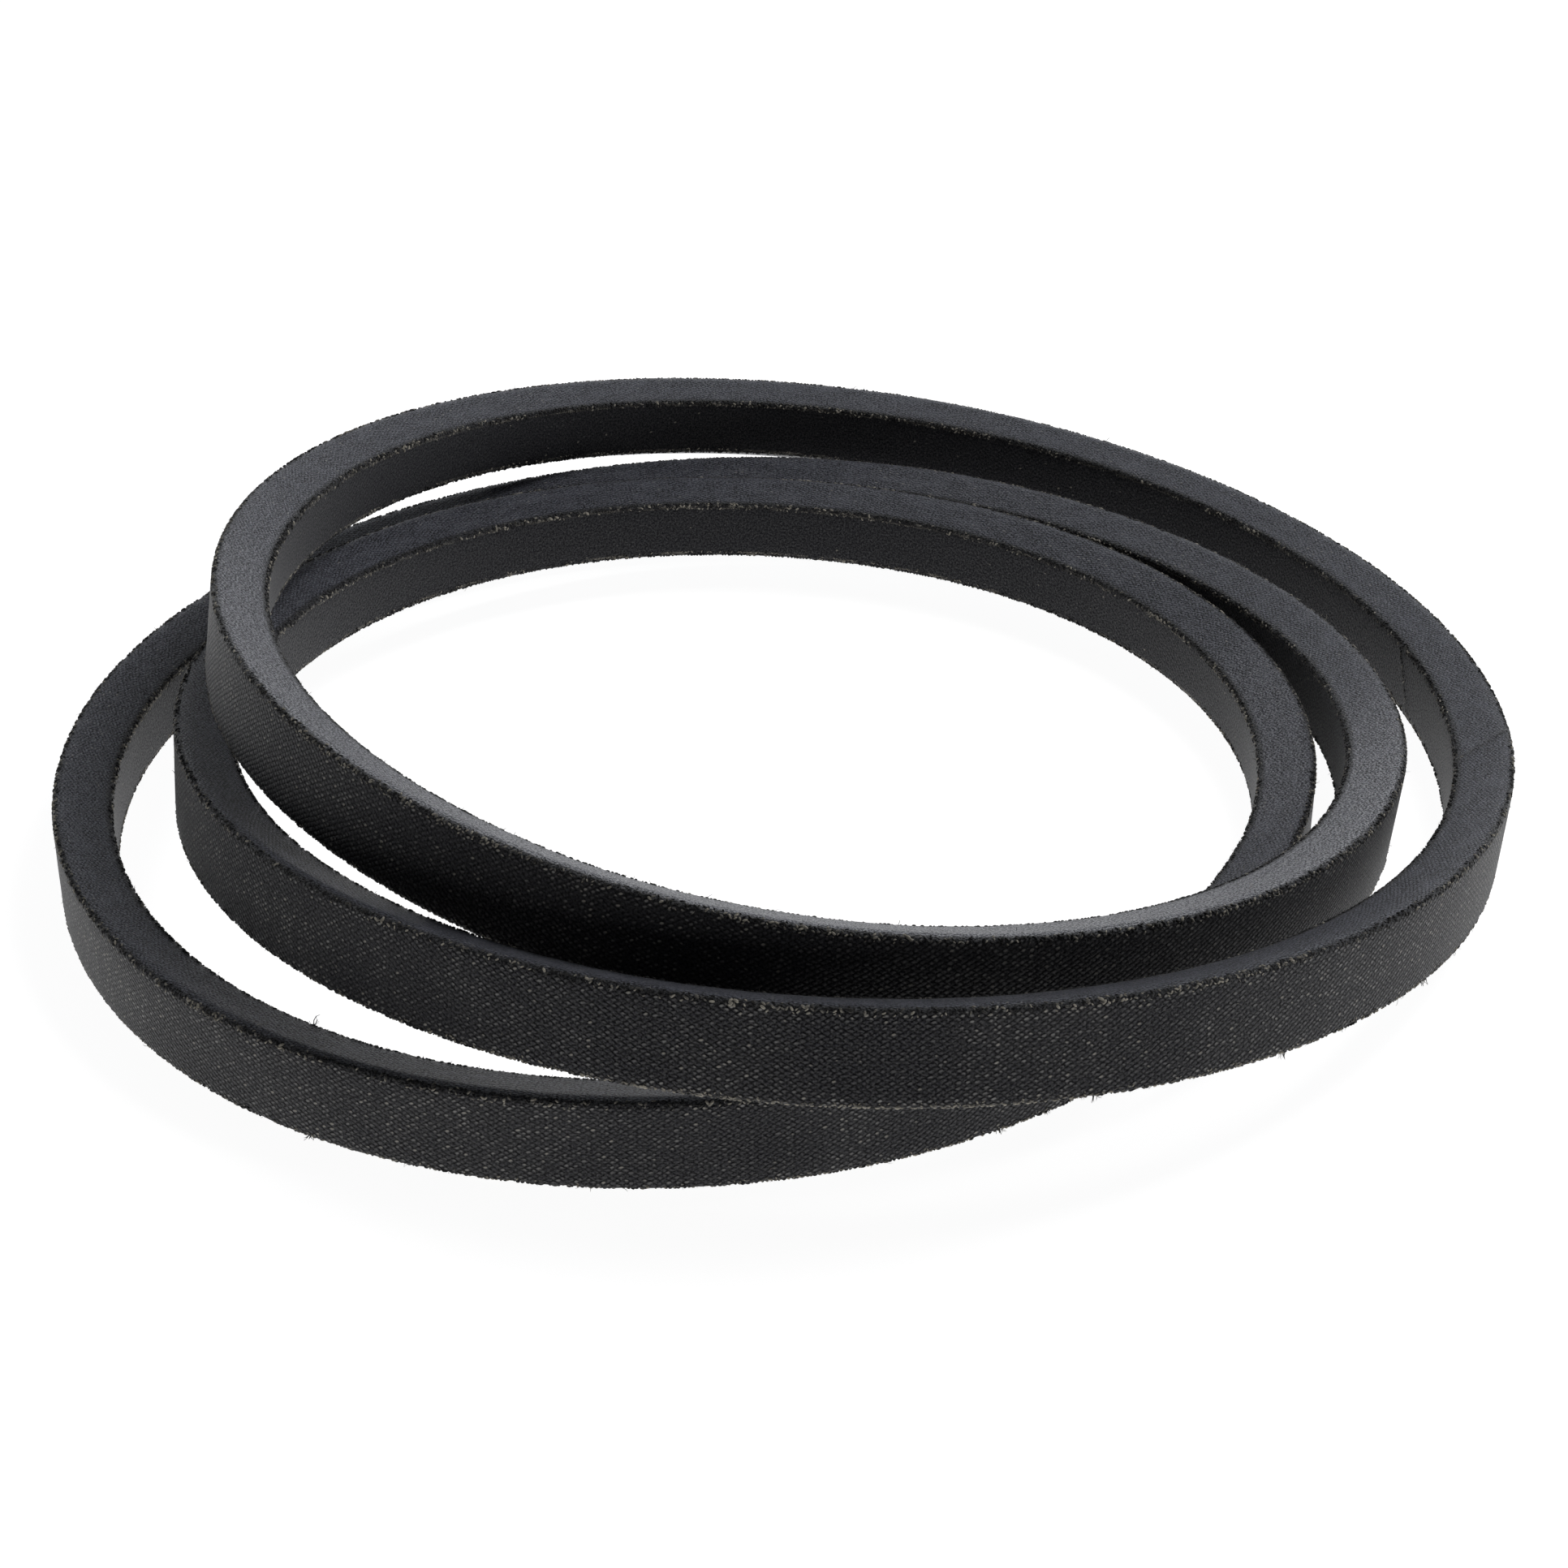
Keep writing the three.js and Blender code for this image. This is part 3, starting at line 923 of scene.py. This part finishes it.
def make_cover(name, first_loop, mesh, material):
    """One loop of the cover: a skin outside, a skin inside and a ring at each end, all one closed ply."""
    start, end = length_at(first_loop), length_at(first_loop + 1)
    steps = 16 * max(1, round((end - start) / mesh.cover_pitch / 16))
    lengths = start + (end - start) * np.arange(steps + 1) / steps
    sides = len(PROFILE.xy)
    along, around = (grid.ravel() for grid in np.meshgrid(lengths, PROFILE.around[:-1], indexing="ij"))
    outside = surface(along, around, cover_relief(along, around, mesh))

    # The inside is coarser: every fourth station and every other point of the section
    inner_stations, inner_sides = steps // 4 + 1, sides // 2
    inner_grid = np.meshgrid(lengths[::4], PROFILE.around[:-1:2], indexing="ij")
    inside = surface(inner_grid[0].ravel(), inner_grid[1].ravel(), np.full(inner_grid[0].size, -COVER))
    first_inside = len(outside)
    last_inside = first_inside + (inner_stations - 1) * inner_sides
    start_ring = ring_faces(0, first_inside, sides, flip=True)
    end_ring = ring_faces(steps * sides, last_inside, sides, flip=False)
    skins = [
        bar_faces(steps + 1, sides),
        bar_faces(inner_stations, inner_sides, first_inside, inward=True),
    ]
    rings = [np.vstack(parts) for parts in zip(start_ring, end_ring, strict=True)]
    piece = new_mesh(name, np.vstack([outside, inside]), [*skins, *rings])
    sharpen(piece, np.concatenate([np.arange(sides), steps * sides + np.arange(sides)]))
    add_cover_numbers(piece, along, around, len(inside))
    add_cover_maps(piece, lengths, sides)
    place(piece, material, "cover_fabric", "outer_cover_ply")


def add_cover_numbers(piece, along, around, inside_count):
    """What the fabric's material reads at each point. Distances are in millimetres."""
    xy, normals = PROFILE.at(around)
    from_splice = splice_distance(along, around)
    bare = 0.8 * hump(from_splice - 0.6 * MM, 0.5 * MM)
    for at, spot, reach, amount in SCUFFS:
        beside = hump(around - PROFILE.nearest(*spot), SCUFF_WIDTH)
        bare += amount * beside * hump(past_place(along, at), reach * MM)
    upper = np.clip(xy[:, 0] / MM - 2, 0, 1)
    # Each number on the outside, and what it is everywhere inside
    numbers = {
        # Rubbed stretches of the upper flank: wear, and painted highlights
        "rubbed": (upper * in_stretches(along, RUBBED_AND_HIGHLIGHT_STRETCHES), 0.0),
        "seam": (hump(from_splice + 0.25 * MM, 0.42 * MM), 0.0),
        "back_edge": (face_distance(around, "back") / MM, 9.0),
        "base_edge": (face_distance(around, "base") / MM, -9.0),
        "flank": (flank_share(around), 0.0),
        "base": (np.clip((-normals[:, 1] - 0.5) / 0.4, 0, 1), 1.0),
        "bare": (bare, 0.0),
    }
    for name, (values, inside) in numbers.items():
        point_numbers(piece, name, np.concatenate([values, np.full(inside_count, inside)]))


def add_cover_maps(piece, lengths, sides):
    """Flat maps of the outside from the splice on: one counts threads, and one is in millimetres."""
    around = PROFILE.around
    i, j = (grid.ravel() for grid in np.indices((len(lengths) - 1, sides)))
    past = splice_distance((lengths[i] + lengths[i + 1]) / 2, (around[j] + around[j + 1]) / 2)
    once_more = np.where(past < 0, BELT_LENGTH, 0.0)
    near, far = lengths[i] + once_more, lengths[i + 1] + once_more
    maps = (("threads", THREADS_ALONG, weave_across(around)), ("millimetres", 1 / MM, around / MM))
    for name, scale, v in maps:
        corners = np.stack([near, v[j], near, v[j + 1], far, v[j + 1], far, v[j]], axis=1).reshape(-1, 2)
        corners[:, 0] *= scale
        filled = np.zeros((len(piece.data.loops), 2), np.float32)
        filled[: len(corners)] = corners
        piece.data.uv_layers.new(name=name).data.foreach_set("uv", filled.ravel())


# ---- Edge threads and fibres ----


def crown_template():
    """A small bead with pointed ends: (along the thread, across it, height), each from -1 to 1."""
    points = [(-1.0, 0.0, -CROWN_TIP)]
    for s in CROWN_RINGS:
        girth = math.sqrt(1 - s * s)
        for k in range(CROWN_SIDES):
            angle = 2 * math.pi * (k + 0.25) / CROWN_SIDES
            points.append((s, girth * math.cos(angle), girth * math.sin(angle)))
    points.append((1.0, 0.0, -CROWN_TIP))
    last = len(points) - 1
    k = np.arange(CROWN_SIDES)
    n = (k + 1) % CROWN_SIDES
    top = last - CROWN_SIDES
    first_fan = np.stack([0 * k, 1 + n, 1 + k], axis=1)
    last_fan = np.stack([last + 0 * k, top + k, top + n], axis=1)
    quads = bar_faces(len(CROWN_RINGS), CROWN_SIDES, first=1)
    return np.array(points), np.vstack([first_fan, last_fan]), quads


def crowns_piece(name, length, around, turn, scale, tone, mesh, material, sink=0.35):
    """Thread crowns at many places on the cover, as one piece."""
    template, *faces = crown_template()
    s, w, h = template.T
    half_long = mesh.crown_length / 2 * scale[:, None] * s
    half_wide = mesh.crown_width / 2 * scale[:, None] * w
    cos, sin = np.cos(turn)[:, None], np.sin(turn)[:, None]
    at_length = length[:, None] + half_long * cos - half_wide * sin
    at_around = around[:, None] + half_long * sin + half_wide * cos
    lift = mesh.crown_height * scale[:, None] * (h - sink)
    points = surface(at_length.ravel(), at_around.ravel(), lift.ravel())
    piece = new_mesh(name, points, repeated(faces, len(length), len(template)))
    point_numbers(piece, "tone", np.repeat(tone, len(template)))
    place(piece, material, "cover_fabric")


def some_pale(rng, count, share, pale, dark):
    """A tone for each thread, of which a share is pale."""
    return np.where(rng.random(count) < share, rng.uniform(*pale, count), rng.uniform(*dark, count))


def make_edge_threads(edge, mesh, material):
    """Every thread that passes over one edge of the belt shows there as a crown."""
    rng = np.random.default_rng([mesh.seed, len(edge), *edge.encode()])
    pitch = 1 / THREADS_ALONG / 2
    index = np.arange(int(BELT_LENGTH / pitch))
    count = len(index)
    parts = []
    for shift, kept, size, cream in CROWN_ROWS[edge[-4:]]:
        length = (index + 0.5 * rng.random(count)) * pitch
        around = EDGES[edge] + TOWARD_FACE[edge] * shift * MM + rng.normal(0, CROWN_SCATTER, count)
        worn = smooth_noise(length, around, 14 * MM, 9 * MM, mesh.seed + 11)
        keep = rng.random(count) < kept * (0.75 + 0.4 * worn)
        side = np.where(index % 2 == 0, 1.0, -1.0)
        turn = side * THREAD_ANGLE * 1.15 + rng.normal(0, 0.28, count)
        scale = size * rng.normal(1.0, 0.24, count).clip(0.45, 1.8)
        paler = in_stretches(length, PALE_STRETCHES[edge])
        tone = some_pale(rng, count, cream * (0.25 + 1.6 * worn) + paler, (0.6, 1.1), (0.0, 0.45))
        parts.append([values[keep] for values in (length, around, turn, scale, tone)])
    merged = [np.concatenate(values) for values in zip(*parts, strict=True)]
    crowns_piece(f"{edge}_edge_threads", *merged, mesh, material)


def make_splice(mesh, material):
    """The row of cut thread ends where the cover's bias splice laps."""
    rng = np.random.default_rng(mesh.seed + 40)
    count = SPLICE_THREADS
    round_it = PROFILE.total * (np.arange(count) + 0.6 * rng.random(count)) / count
    around = EDGES["upper_base"] - SPLICE_START + round_it
    length = length_at(SPLICE_AT) + SPLICE_LEAD * round_it + rng.normal(0, 0.14 * MM, count)
    turn = rng.normal(math.radians(-40), 0.5, count)
    scale = rng.normal(0.95, 0.25, count).clip(0.5, 1.5)
    tone = some_pale(rng, count, 0.3, (0.5, 0.9), (0.0, 0.3))
    crowns_piece("cover_splice_threads", length, around, turn, scale, tone, mesh, material, sink=0.3)


def fibre_tubes(name, roots, tips, bends, thickness, tone, material):
    """Tapered three-sided hairs from root to tip, bowed sideways, as one piece."""
    t = np.linspace(0, 1, FIBRE_RINGS)[None, :, None]
    path = roots[:, None] * (1 - t) + tips[:, None] * t + bends[:, None] * (4 * t * (1 - t))
    heading = unit(tips - roots)
    helper = np.where(np.abs(heading[:, 2:]) < 0.9, [[0.0, 0.0, 1.0]], [[1.0, 0.0, 0.0]])
    side_a = unit(np.cross(heading, helper))
    side_b = np.cross(heading, side_a)
    taper = np.linspace(1, FIBRE_TIP, FIBRE_RINGS)[None, :, None, None]
    angle = 2 * np.pi * np.arange(FIBRE_SIDES)[None, None, :, None] / FIBRE_SIDES
    spoke = side_a[:, None, None] * np.cos(angle) + side_b[:, None, None] * np.sin(angle)
    points = path[:, :, None] + spoke * taper * thickness[:, None, None, None]
    points_each = FIBRE_RINGS * FIBRE_SIDES
    end = points_each - FIBRE_SIDES
    caps = np.array([[0, 2, 1], [end, end + 1, end + 2]])
    faces = repeated((bar_faces(FIBRE_RINGS, FIBRE_SIDES), caps), len(roots), points_each)
    piece = new_mesh(name, points.reshape(-1, 3), faces)
    point_numbers(piece, "tone", np.repeat(tone, points_each))
    place(piece, material, "cover_fabric")


def make_fibres(mesh, material):
    """Fuzz: short fibres that stand out of the cover, mostly along its edges."""
    rng = np.random.default_rng(mesh.seed + 60)
    count = mesh.fibre_count
    length = rng.random(count) * BELT_LENGTH
    edges = [EDGES[edge] for edge in FIBRE_SHARES]
    edge = np.array(edges)[rng.choice(len(edges), count, p=list(FIBRE_SHARES.values()))]
    on_edge = edge + rng.normal(0, 0.35 * MM, count)
    around = np.where(rng.random(count) < ON_EDGE_SHARE, on_edge, rng.random(count) * PROFILE.total)
    reach = (rng.gamma(2.2, 0.15, count) * MM).clip(*FIBRE_LENGTHS)
    slant = rng.uniform(-1.3, 1.3, count)
    swing = rng.uniform(-0.8, 0.8, count)
    roots = surface(length, around, np.full(count, -0.05 * MM))
    tip_around = around + reach * swing * 0.5
    tips = surface(length + reach * np.sin(slant), tip_around, reach * np.cos(slant) * 0.75)
    bends = rng.normal(0, 0.16, (count, 3)) * reach[:, None]
    thickness = rng.uniform(0.025, 0.05, count) * MM
    tone = some_pale(rng, count, 0.3, (0.5, 1.0), (0.0, 0.35))
    fibre_tubes("loose_fibres", roots, tips, bends, thickness, tone, material)


def make_torn_threads(mesh, material):
    """Frays: a bunch of longer fibres at each torn place."""
    rng = np.random.default_rng(mesh.seed + 80)
    places = [
        (length_at(loops), EDGES[edge], size * MM)
        for edge, torn in TORN_PLACES.items()
        for loops, size in torn
    ]
    length, around, size = np.repeat(places, THREADS_TORN_AT_ONCE, axis=0).T
    count = len(size)
    length = length + rng.normal(0, 0.3 * MM, count)
    around = around + rng.normal(0, 0.2 * MM, count)
    reach = size * rng.uniform(0.5, 1.25, count)
    slant = rng.normal(0.0, 0.6, count)
    roots = surface(length, around, np.full(count, -0.08 * MM))
    tip_around = around + reach * rng.normal(0, 0.25, count)
    tips = surface(length + reach * np.sin(slant), tip_around, reach * np.cos(slant))
    bends = rng.normal(0, 0.2, (count, 3)) * reach[:, None]
    thickness = rng.uniform(0.04, 0.09, count) * MM
    tone = some_pale(rng, count, 0.25, (0.5, 0.9), (0.0, 0.3))
    fibre_tubes("torn_threads", roots, tips, bends, thickness, tone, material)


# ---- The layers inside ----


def layer_corners(top, bottom, inset, radius):
    wide, narrow = half_width(top, inset), half_width(bottom, inset)
    return [(x, y, radius) for x, y in ((narrow, bottom), (wide, top), (-wide, top), (-narrow, bottom))]


def make_layer(name, node, slot, top, bottom, splice, mesh, material):
    outline = Profile(layer_corners(top, bottom, INSIDE_WRAPS, 0.06 * MM), pitch=9 * MM, arc_steps=2)
    stations = stations_from(splice, mesh.layer_pitch)
    piece = sweep_bar(name, outline.xy, stations, [(0.0, (top + bottom) / 2)] * 2)
    place(piece, material, slot, node)


def make_inner_ply(mesh, material):
    """The second turn of fabric: a closed tube with its own thickness."""
    corners = layer_corners(BACK_Y - INSIDE_COVER, BASE_Y + INSIDE_COVER, INSIDE_COVER, 0.3 * MM)
    outside = Profile(corners, pitch=4 * MM, arc_steps=3)
    sides = len(outside.xy)
    inside = outside.xy - outside.normals * INNER_PLY * 0.9
    stations = stations_from(COVER_SPLICE + SPLICE_STEP, mesh.layer_pitch)
    count = len(stations[0])
    points = np.vstack([swept(stations, outside.xy), swept(stations, inside)])
    first = count * sides
    last = first - sides
    j = np.arange(sides)
    k = (j + 1) % sides
    start_ring = np.stack([k, j, first + j, first + k], axis=1)
    end_ring = np.stack([last + j, last + k, first + last + k, first + last + j], axis=1)
    skins = [bar_faces(count, sides), bar_faces(count, sides, first, inward=True)]
    piece = new_mesh("inner_fabric_ply", points, [*skins, start_ring, end_ring])
    sharpen(piece, np.concatenate([j, last + j, first + j, first + last + j]))
    place(piece, material, "inner_cover_fabric", "inner_cover_ply")


def make_cord_turn(turn, mesh, material):
    """One turn of the cord: three strands twisted together, stepping across the belt as it goes round."""
    reach = 2 * (half_width(CORD_MIDDLE - CORD_DIAMETER / 2, INSIDE_WRAPS) - CORD_DIAMETER / 2)
    pitch = reach / CORD_TURNS
    stations = stations_from(COVER_SPLICE + SPLICE_STEP * (len(LAYERS) + 2), mesh.cord_pitch)
    share = np.linspace(0, 1, len(stations[0]))
    across = (turn + share) * pitch - reach / 2
    twist = 2 * np.pi * share * round(BELT_LENGTH / mesh.cord_lay)
    angle = 2 * np.pi * np.arange(CORD_SIDES) / CORD_SIDES
    valley = (1 - np.cos(STRANDS * angle)) / 2
    radius = CORD_DIAMETER / 2 * (1 - STRAND_VALLEY * valley)
    turned = angle[None] + twist[:, None]
    sections = np.stack(
        [across[:, None] + radius * np.cos(turned), CORD_MIDDLE + radius * np.sin(turned)], axis=-1
    )
    centres = [(across[end], CORD_MIDDLE) for end in (0, -1)]
    piece = sweep_bar(f"cord_turn_{turn + 1}", sections, stations, centres)
    point_numbers(piece, "valley", np.concatenate([np.tile(valley, len(share)), [0.5, 0.5]]))
    place(piece, material, "cord_yarn", f"tensile_cord_turn_{turn + 1}")


# ---- The stage ----


def make_camera(stage):
    camera = new_object("camera", bpy.data.cameras.new("camera"))
    camera.data.lens = stage.lens
    camera.data.sensor_width = SENSOR_WIDTH
    camera.data.clip_start = 0.01
    camera.data.clip_end = 50
    camera.location = CAMERA_PLACE
    # Tilted down from looking along +Y, then rolled about its own view
    pitch = Matrix.Rotation(math.pi / 2 - CAMERA_PITCH, 3, "X")
    roll = Matrix.Rotation(CAMERA_ROLL, 3, "Z")
    camera.rotation_euler = (pitch @ roll).to_euler("XYZ")
    bpy.context.scene.camera = camera


def make_softbox(stage):
    softbox = new_object("softbox", bpy.data.lights.new("softbox", "AREA"))
    softbox.data.energy = stage.softbox_power
    softbox.data.size = SOFTBOX_SIZE
    softbox.location = SOFTBOX_PLACE
    softbox.rotation_euler = (-softbox.location).to_track_quat("-Z", "Y").to_euler()


def make_table(stage):
    """A wide white table that glows a little, so that the coil casts almost no shadow on it."""
    corners = np.array([(-1, -1), (1, -1), (1, 1), (-1, 1)]) * TABLE_REACH
    points = np.column_stack([corners, np.full(4, -TABLE_DROP)])
    table = new_mesh("table", points, [np.array([[0, 1, 2, 3]])], smooth=False)
    r = Recipe("white table")
    r.feed(r.shader["Emission Color"], opaque((1.0, 1.0, 1.0)))
    r.feed(r.shader["Emission Strength"], stage.table_glow)
    table.data.materials.append(r.finish(opaque((0.25, 0.25, 0.25)), 0.9))


def make_room(stage):
    """Light from all round: brightest from low behind the coil, and dimmer from above and in front."""
    world = bpy.data.worlds.new("studio")
    world.use_nodes = True
    sky = Nodes(world.node_tree)
    right, away, height = sky.split(sky.wire("ShaderNodeTexCoord", "Generated"))
    toward_back = right * TOWARD_BACK[0] + away * TOWARD_BACK[1]
    backward = sky.ramp(toward_back, -0.28, 0.62, stage.front_light, stage.back_light)
    upward = sky.ramp(height, 0.05, 0.75, 1.0, stage.top_share)
    background = world.node_tree.nodes["Background"].inputs
    sky.feed(background["Color"], opaque((0.93, 0.96, 1.0)))
    sky.feed(background["Strength"], backward * upward)
    bpy.context.scene.world = world


# ---- The add-on ----


class BELT_OT_stage(bpy.types.Operator):
    """Makes the table, the light and the camera."""

    bl_idname = "belt.make_stage"
    bl_label = "Stage"

    def execute(self, context):
        for make in (make_camera, make_table, make_softbox, make_room):
            make(settings("belt_stage"))
        context.scene.view_settings.view_transform = "Standard"
        context.scene.view_settings.look = "None"
        return {"FINISHED"}


class BELT_OT_cover(bpy.types.Operator):
    """Makes the woven cover, one piece for each loop of the coil."""

    bl_idname = "belt.make_cover"
    bl_label = "Cover"

    def execute(self, context):
        material = woven_cover(settings("belt_fabric"))
        for loop, name in enumerate(("first", "second", "third")):
            make_cover(f"cover_{name}_loop", loop, settings("belt_mesh"), material)
        return {"FINISHED"}


class BELT_OT_edges(bpy.types.Operator):
    """Makes the thread crowns along the four edges and across the splice."""

    bl_idname = "belt.make_edges"
    bl_label = "Edge threads and splice"

    def execute(self, context):
        mesh = settings("belt_mesh")
        material = worn_threads(settings("belt_fabric"))
        for edge in EDGES:
            make_edge_threads(edge, mesh, material)
        make_splice(mesh, material)
        return {"FINISHED"}


class BELT_OT_fibres(bpy.types.Operator):
    """Makes the loose fibres and the torn places."""

    bl_idname = "belt.make_fibres"
    bl_label = "Loose fibres"

    def execute(self, context):
        mesh = settings("belt_mesh")
        material = loose_cotton(settings("belt_fabric"))
        make_fibres(mesh, material)
        make_torn_threads(mesh, material)
        return {"FINISHED"}


class BELT_OT_layers(bpy.types.Operator):
    """Makes the second ply of fabric and the rubber layers inside it."""

    bl_idname = "belt.make_layers"
    bl_label = "Inner layers"

    def execute(self, context):
        mesh = settings("belt_mesh")
        make_inner_ply(mesh, inner_weave(settings("belt_fabric")))
        rubbers = {name: moulded_rubber(name, *look) for name, look in RUBBERS.items()}
        for i, (name, node, slot, top, depth, rubber) in enumerate(LAYERS):
            splice = COVER_SPLICE + SPLICE_STEP * (i + 2)
            make_layer(name, node, slot, top, top - depth, splice, mesh, rubbers[rubber])
        return {"FINISHED"}


class BELT_OT_cord(bpy.types.Operator):
    """Makes the tensile cord, one piece for each turn."""

    bl_idname = "belt.make_cord"
    bl_label = "Tensile cord"

    def execute(self, context):
        material = twisted_yarn(settings("belt_fabric"))
        for turn in range(CORD_TURNS):
            make_cord_turn(turn, settings("belt_mesh"), material)
        return {"FINISHED"}


class BELT_PT_panel(bpy.types.Panel):
    """Lists the belt's settings and the steps that make it."""

    bl_idname = "BELT_PT_panel"
    bl_label = "V Belt"
    bl_space_type = "VIEW_3D"
    bl_region_type = "UI"
    bl_category = "V Belt"

    def draw(self, context):
        for operator in OPERATORS:
            self.layout.operator(operator.bl_idname)
        for group in GROUPS:
            box = self.layout.box()
            values = settings(group)
            for name in values.__annotations__:
                box.prop(values, name)


OPERATORS = (BELT_OT_stage, BELT_OT_cover, BELT_OT_edges, BELT_OT_fibres, BELT_OT_layers, BELT_OT_cord)
GROUPS = {
    "belt_mesh": BeltMeshSettings,
    "belt_fabric": BeltFabricSettings,
    "belt_stage": BeltStageSettings,
}
CLASSES = (*GROUPS.values(), *OPERATORS, BELT_PT_panel)


def register():
    for made in CLASSES:
        bpy.utils.register_class(made)
    for name, group in GROUPS.items():
        setattr(bpy.types.Scene, name, bpy.props.PointerProperty(type=group))


def unregister():
    for name in GROUPS:
        delattr(bpy.types.Scene, name)
    for made in reversed(CLASSES):
        bpy.utils.unregister_class(made)


def main():
    register()
    bpy.ops.belt.make_stage()
    bpy.ops.belt.make_cover()
    bpy.ops.belt.make_edges()
    bpy.ops.belt.make_fibres()
    bpy.ops.belt.make_layers()
    bpy.ops.belt.make_cord()


if __name__ == "__main__":
    main()
